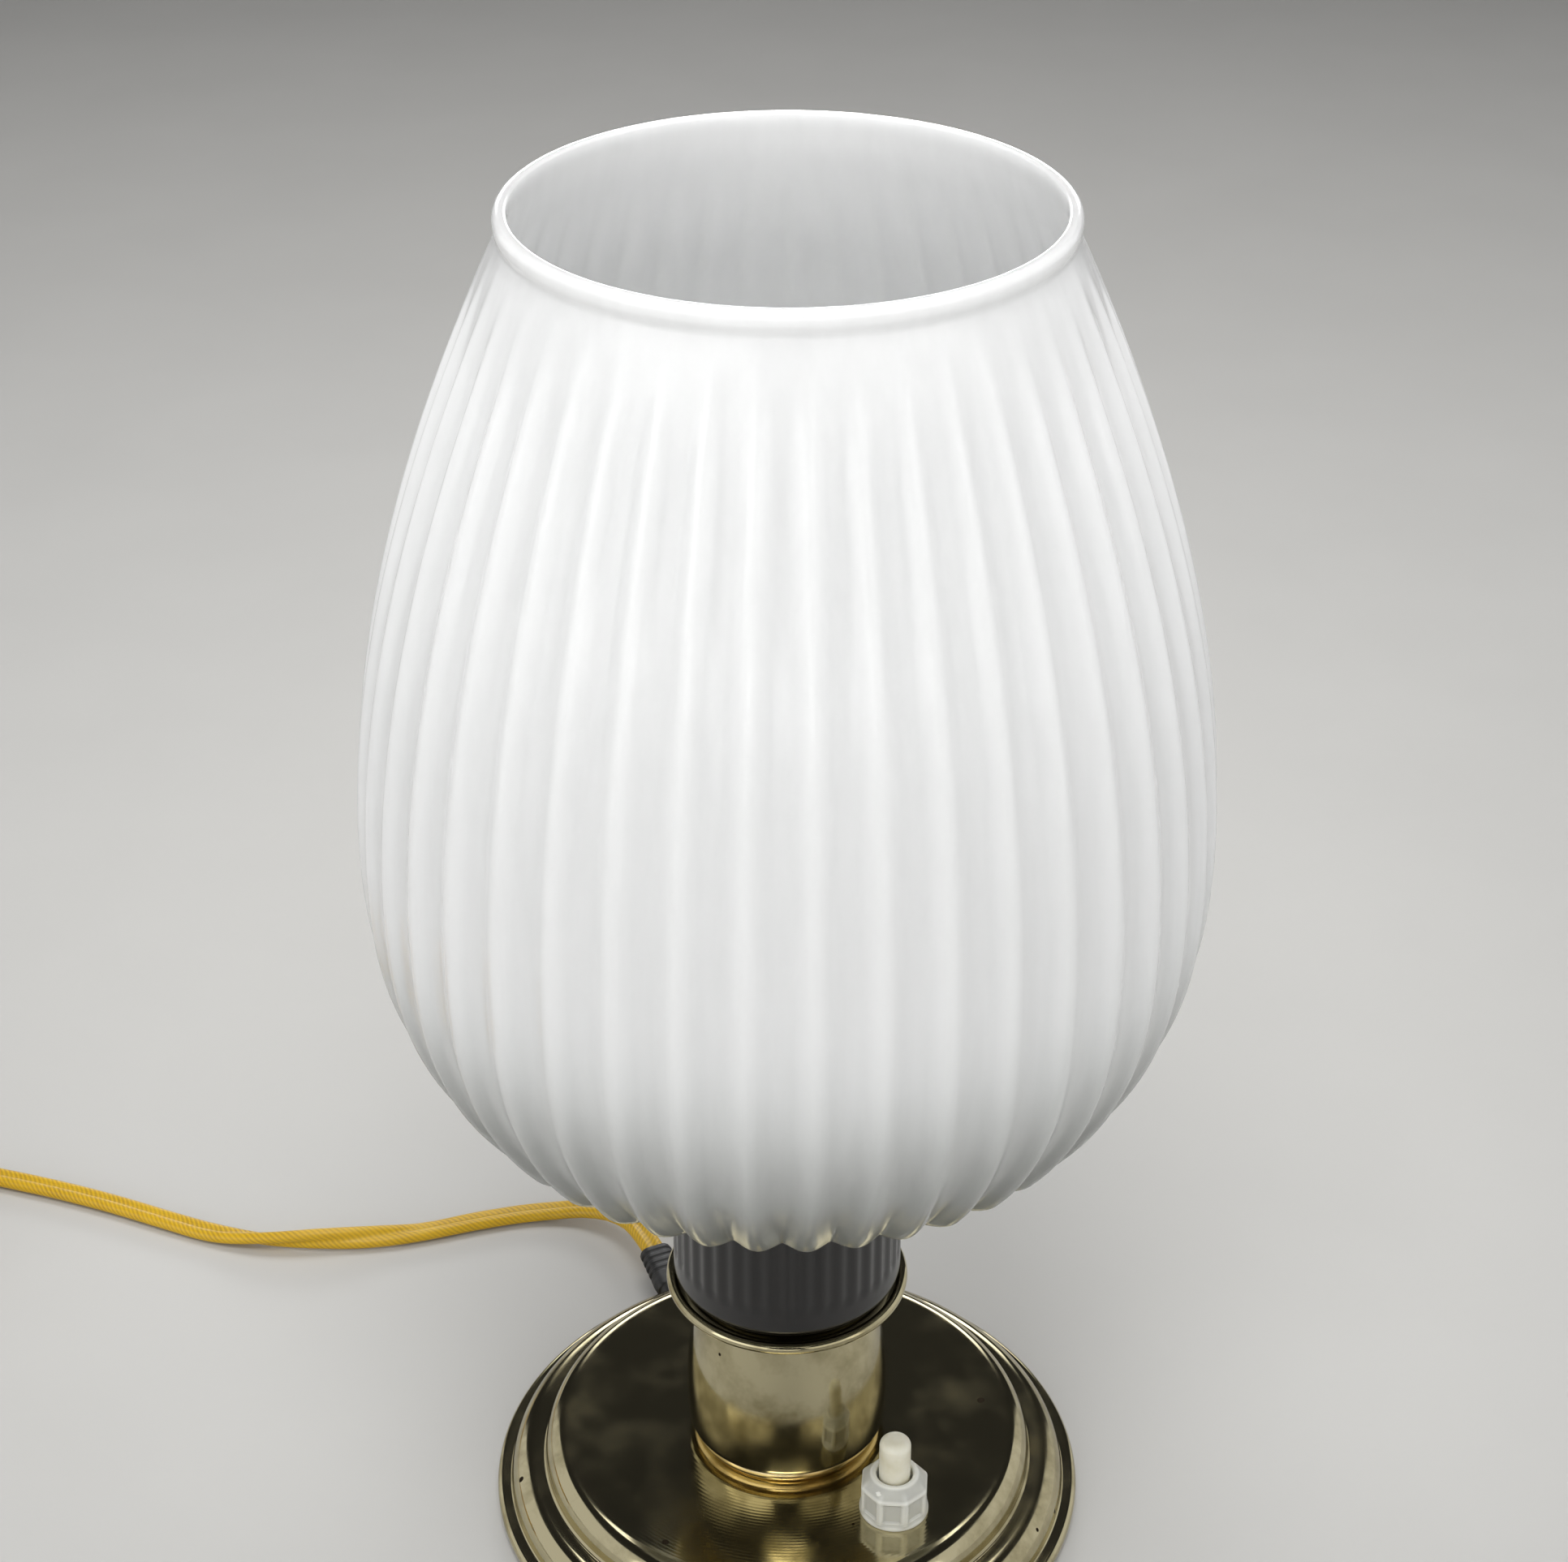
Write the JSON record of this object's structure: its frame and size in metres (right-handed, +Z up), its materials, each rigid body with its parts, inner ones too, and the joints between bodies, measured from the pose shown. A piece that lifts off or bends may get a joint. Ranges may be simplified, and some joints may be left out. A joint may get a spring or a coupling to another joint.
{
  "type": "bedside lamp",
  "caption": "Bedside table lamp: ribbed opal glass shade open at the top on a polished stem, stepped round base with a push-button switch, flat twin cord with plug.",
  "frame": {"origin": "middle of the felt under the base, on the table", "axes": "+Z up along the lamp's axis, -Y towards the viewer of the picture, +X to the right; the cord leaves at the back and runs to -X"},
  "size_m": [0.3861, 0.1822, 0.2765],
  "materials": {
    "brass_plate": "polished pale brass plating",
    "gold_ring": "polished gold",
    "iron": "as cast",
    "board": "pressed board",
    "felt": "felt",
    "steel": "zinc plated",
    "bakelite": "moulded phenolic",
    "porcelain": "glazed",
    "contact_brass": "stamped",
    "gasket": "matt",
    "opal_glass": "mould-blown opal glass, ribbed",
    "bulb_glass": "frosted inside",
    "bulb_metal": "stamped",
    "bulb_black": "black glass",
    "milk_plastic": "moulded, milky",
    "lead_brown": "insulation",
    "lead_blue": "insulation",
    "gold_cord": "golden translucent sheath",
    "black_plastic": "moulded",
    "pin_metal": "nickel plated"
  },
  "bodies": {
    "lamp": {"base_shell": "brass_plate", "base_weight": "iron", "bottom_disc": "board", "felt_pad": "felt", "foot_ring": "gold_ring", "stem_drum": "brass_plate", "stem_cap": "brass_plate", "threaded_tube": "steel", "tube_washer": "steel", "tube_nut": "steel", "holder_cap": "bakelite", "holder_body": "bakelite", "holder_insert": "porcelain", "holder_terminals": "contact_brass", "screw_shell": "contact_brass", "centre_contact": "contact_brass", "gasket_lower": "gasket", "gasket_upper": "gasket", "shade_ring": "bakelite", "glass_shade": "opal_glass", "bulb_glass": "bulb_glass", "bulb_cap": "bulb_metal", "bulb_insulator": "bulb_black", "bulb_contact": "bulb_metal", "switch_body": "milk_plastic", "switch_collar": "milk_plastic", "switch_spring": "steel", "switch_terminals": "contact_brass", "lead_live": "lead_brown", "lead_return": "lead_brown", "lead_neutral": "lead_blue", "cord_bush": "black_plastic", "cord": "gold_cord", "cord_coil": "gold_cord", "coil_tie": "black_plastic", "plug_body": "milk_plastic", "plug_pins": "pin_metal"},
    "button": {"switch_button": "milk_plastic"}
  },
  "joints": [
    {"name": "button_press", "type": "slide", "parent": "lamp", "child": "button", "axis": [0, 0, -1], "range_m": [0, 0.0028], "stiffness_N_per_m": 800, "springref_m": -0.001, "deforming": ["switch_spring"]}
  ]
}
